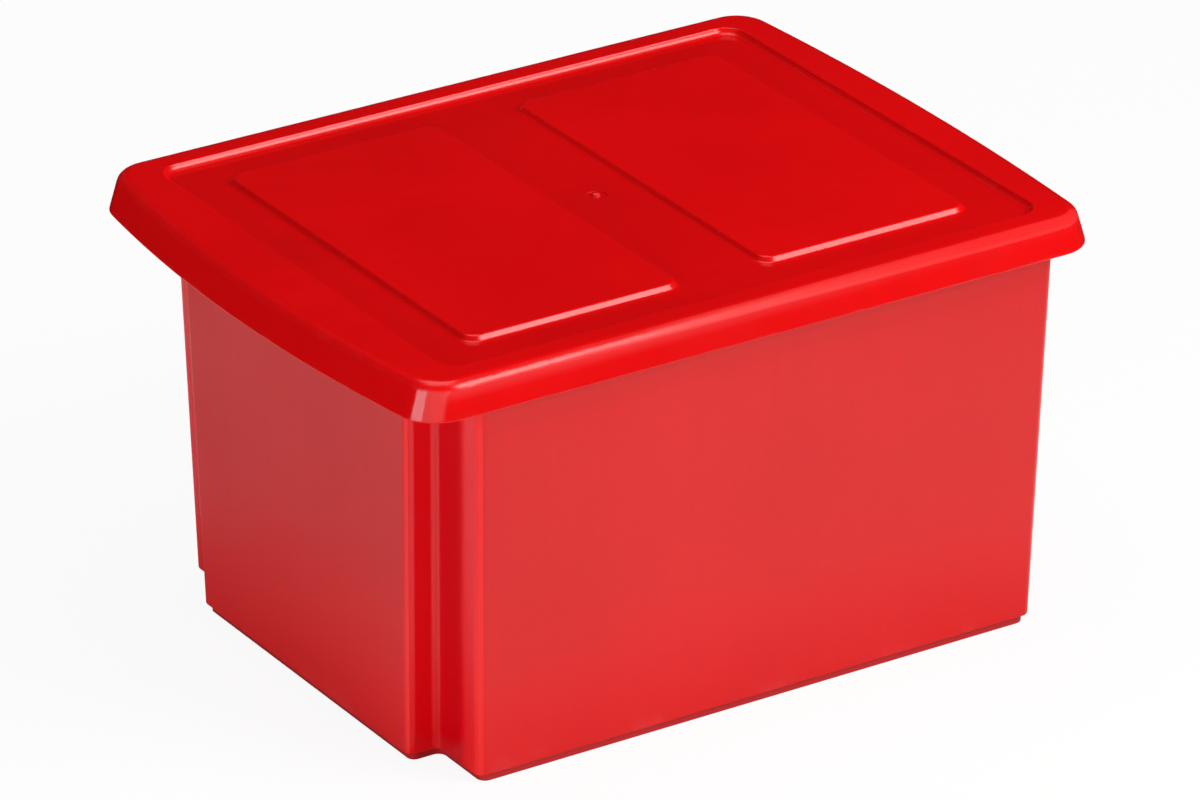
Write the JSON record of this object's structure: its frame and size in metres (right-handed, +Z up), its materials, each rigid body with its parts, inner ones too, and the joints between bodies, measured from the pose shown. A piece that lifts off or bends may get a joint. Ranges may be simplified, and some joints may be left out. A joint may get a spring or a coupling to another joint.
{
  "type": "storage box",
  "caption": "Moulded plastic storage box: a tapered tub with stepped corners at one end, and a lift-off lid with bowed ends, a flared skirt and raised panels.",
  "frame": {"origin": "centre of the tub's foot, on the surface that the box stands on", "axes": "+X along the long side, away from the end with the stepped corners; +Y from front to back; +Z up"},
  "size_m": [0.4794, 0.3658, 0.268],
  "materials": {
    "tub_plastic": "satin red polypropylene",
    "lid_plastic": "glossy red polypropylene"
  },
  "bodies": {
    "tub": {"tub": "tub_plastic"},
    "lid": {"lid": "lid_plastic"}
  },
  "joints": [
    {"name": "lid_lift", "type": "slide", "parent": "tub", "child": "lid", "axis": [0, 0, 1], "range_m": [0, 0.3]}
  ]
}
